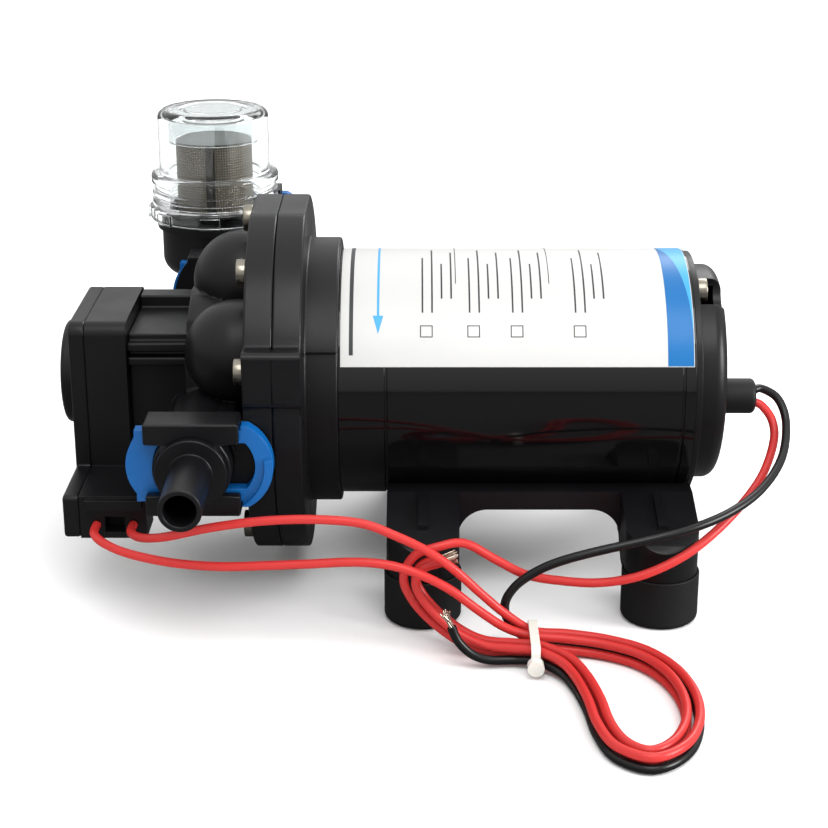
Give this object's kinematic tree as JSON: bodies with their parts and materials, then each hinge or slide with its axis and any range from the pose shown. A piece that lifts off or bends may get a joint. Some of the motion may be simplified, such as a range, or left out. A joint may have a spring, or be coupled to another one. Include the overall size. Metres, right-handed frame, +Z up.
{
  "type": "water pump",
  "caption": "Diaphragm pump for fresh water in caravans: domed head, slide-clip hose ports, screw-top strainer, pressure switch, motor on a rubber-footed bracket",
  "frame": {"origin": "middle of the four foot screw holes, on the floor", "axes": "+X along the motor to its tail, +Y from the outlet side to the strainer side, +Z up"},
  "size_m": [0.2278, 0.3089, 0.129],
  "materials": {
    "moulded": "satin black moulding",
    "can_paint": "gloss black",
    "label_paper": "coated paper sheet",
    "blue_clip": "bright blue",
    "zinc": "plated screws",
    "steel": "ground steel",
    "core": "laminated",
    "copper": "copper",
    "carbon": "carbon",
    "magnet": "ferrite",
    "phenolic": "brown board",
    "rubber": "matte black",
    "white_plastic": "natural moulding",
    "clear_cap": "clear",
    "mesh": "woven wire",
    "red_pvc": "red insulation",
    "black_pvc": "black insulation",
    "tie": "natural nylon",
    "brass": "turned"
  },
  "bodies": {
    "pump": {"base_bracket": "moulded", "foot_front_left": "rubber", "foot_front_right": "rubber", "foot_rear_left": "rubber", "foot_rear_right": "rubber", "motor_can": "can_paint", "label": "label_paper", "end_bell": "moulded", "rear_cap": "moulded", "motor_bolts": "zinc", "cable_gland": "rubber", "front_bearing": "steel", "rear_bearing": "steel", "brush_holder": "phenolic", "brushes": "carbon", "magnets": "magnet", "drive_housing": "moulded", "wobble_bearing": "steel", "wobble_plate": "white_plastic", "diaphragm": "rubber", "pistons": "white_plastic", "valve_plate": "white_plastic", "inlet_valves": "rubber", "outlet_valve": "rubber", "pump_head": "moulded", "head_screws": "zinc", "outlet_tail": "moulded", "outlet_seal": "rubber", "inlet_seal": "rubber", "strainer_body": "moulded", "strainer_screen": "mesh", "strainer_tail": "moulded", "tail_seal": "rubber", "switch_case": "moulded", "switch_cover": "moulded", "microswitch": "moulded", "switch_wire_low": "red_pvc", "switch_wire_high": "red_pvc", "motor_wire_red": "red_pvc", "motor_wire_black": "black_pvc", "cable_tie": "tie"},
    "rotor": {"motor_shaft": "steel", "armature": "core", "windings": "copper", "commutator": "copper", "eccentric": "steel"},
    "cap_seal": {"strainer_seal": "rubber"},
    "cap": {"strainer_cap": "clear_cap"},
    "plunger": {"switch_plunger": "white_plastic", "switch_spring": "steel"},
    "adjuster": {"adjusting_screw": "brass"},
    "outlet_slider_left": {"outlet_clip_left": "blue_clip"},
    "outlet_slider_right": {"outlet_clip_right": "blue_clip"},
    "inlet_slider_left": {"inlet_clip_left": "blue_clip"},
    "inlet_slider_right": {"inlet_clip_right": "blue_clip"},
    "strainer_slider_left": {"strainer_clip_left": "blue_clip"},
    "strainer_slider_right": {"strainer_clip_right": "blue_clip"}
  },
  "joints": [
    {"name": "rotor_spin", "type": "hinge", "parent": "pump", "child": "rotor", "pos_m": [0, 0, 0.062], "axis": [1, 0, 0], "continuous": true},
    {"name": "cap_lift", "type": "slide", "parent": "pump", "child": "cap_seal", "axis": [0, 0, 1], "range_m": [0, 0.0072]},
    {"name": "cap_turn", "type": "hinge", "parent": "cap_seal", "child": "cap", "pos_m": [-0.11, 0.092, 0.0903], "axis": [0, 0, 1], "range_deg": [0, 1080]},
    {"name": "plunger_slide", "type": "slide", "parent": "pump", "child": "plunger", "axis": [-1, 0, 0], "range_m": [0, 0.0012], "deforming": ["switch_spring"]},
    {"name": "adjuster_turn", "type": "hinge", "parent": "pump", "child": "adjuster", "pos_m": [-0.149, 0, 0.062], "axis": [1, 0, 0], "range_deg": [-180, 180]},
    {"name": "outlet_clip_slide_left", "type": "slide", "parent": "pump", "child": "outlet_slider_left", "axis": [-1, 0, 0], "range_m": [0, 0.01]},
    {"name": "outlet_clip_slide_right", "type": "slide", "parent": "pump", "child": "outlet_slider_right", "axis": [1, 0, 0], "range_m": [0, 0.01]},
    {"name": "inlet_clip_slide_left", "type": "slide", "parent": "pump", "child": "inlet_slider_left", "axis": [-1, 0, 0], "range_m": [0, 0.01]},
    {"name": "inlet_clip_slide_right", "type": "slide", "parent": "pump", "child": "inlet_slider_right", "axis": [1, 0, 0], "range_m": [0, 0.01]},
    {"name": "strainer_clip_slide_left", "type": "slide", "parent": "pump", "child": "strainer_slider_left", "axis": [-1, 0, 0], "range_m": [0, 0.01]},
    {"name": "strainer_clip_slide_right", "type": "slide", "parent": "pump", "child": "strainer_slider_right", "axis": [1, 0, 0], "range_m": [0, 0.01]}
  ],
  "couplings": [
    {"joint": "cap_turn", "follows": "cap_lift", "rad_per_m": 2618}
  ]
}
